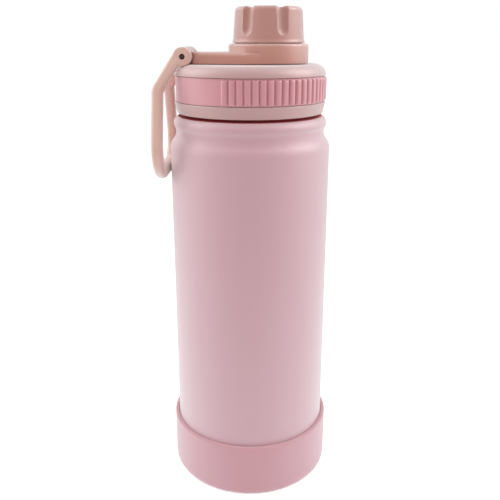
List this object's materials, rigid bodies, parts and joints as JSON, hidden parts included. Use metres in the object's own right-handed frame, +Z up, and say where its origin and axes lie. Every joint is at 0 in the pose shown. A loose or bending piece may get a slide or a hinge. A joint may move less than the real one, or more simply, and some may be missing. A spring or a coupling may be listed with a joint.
{
  "type": "insulated spout bottle",
  "caption": "Insulated steel bottle with a silicone boot, a screw lid with a ribbed grip band, a fluted flip spout cap on a hinged collar arm, and a bail handle.",
  "frame": {"origin": "on the bottle's axis at the underside of the boot, where it stands", "axes": "+Z up along the bottle's axis, -X towards the hinge and the handle, -Y towards the viewer of the picture"},
  "size_m": [0.0802, 0.0772, 0.223],
  "materials": {
    "powder_coat": "matte powder coat, fine orange peel",
    "steel": "drawn stainless steel, satin",
    "getter_alloy": "sintered, dull",
    "solder": "as cast",
    "boot_silicone": "matte silicone",
    "seal_silicone": "satin translucent silicone",
    "lid_plastic": "fine moulded texture",
    "cap_plastic": "fine moulded texture",
    "band_rubber": "matte over-moulded rubber",
    "pin_steel": "satin, darkened in its recess"
  },
  "bodies": {
    "bottle": {"outer_shell": "powder_coat", "inner_liner": "steel", "liner_base": "steel", "outer_base": "steel", "getter": "getter_alloy", "vacuum_seal": "solder", "boot": "boot_silicone"},
    "lid_seal": {"lid_gasket": "seal_silicone"},
    "lid": {"lid_core": "lid_plastic", "grip_band": "band_rubber", "lid_cover": "lid_plastic", "hinge_pin": "pin_steel"},
    "arm": {"collar_arm": "cap_plastic"},
    "cap_disc": {"cap_seal": "seal_silicone"},
    "cap": {"spout_cap": "cap_plastic"},
    "handle": {"handle": "cap_plastic"}
  },
  "joints": [
    {"name": "lid_lift", "type": "slide", "parent": "bottle", "child": "lid_seal", "axis": [0, 0, 1], "range_m": [0, 0.0081]},
    {"name": "lid_turn", "type": "hinge", "parent": "lid_seal", "child": "lid", "pos_m": [0, 0, 0.19], "axis": [0, 0, 1], "range_deg": [0, 720]},
    {"name": "arm_flip", "type": "hinge", "parent": "lid", "child": "arm", "pos_m": [-0.0286, 0, 0.2023], "axis": [0, -1, 0], "range_deg": [0, 160]},
    {"name": "handle_swing", "type": "hinge", "parent": "lid", "child": "handle", "pos_m": [-0.0286, 0, 0.2023], "axis": [0, 1, 0], "range_deg": [0, 155]},
    {"name": "cap_rise", "type": "slide", "parent": "arm", "child": "cap_disc", "axis": [0, 0, 1], "range_m": [0, 0.00265]},
    {"name": "cap_turn", "type": "hinge", "parent": "cap_disc", "child": "cap", "pos_m": [0.0082, 0, 0.21], "axis": [0, 0, 1], "range_deg": [0, 360]}
  ],
  "couplings": [
    {"joint": "lid_lift", "follows": "lid_turn", "m_per_rad": 0.00063662},
    {"joint": "cap_rise", "follows": "cap_turn", "m_per_rad": 0.0004138}
  ]
}
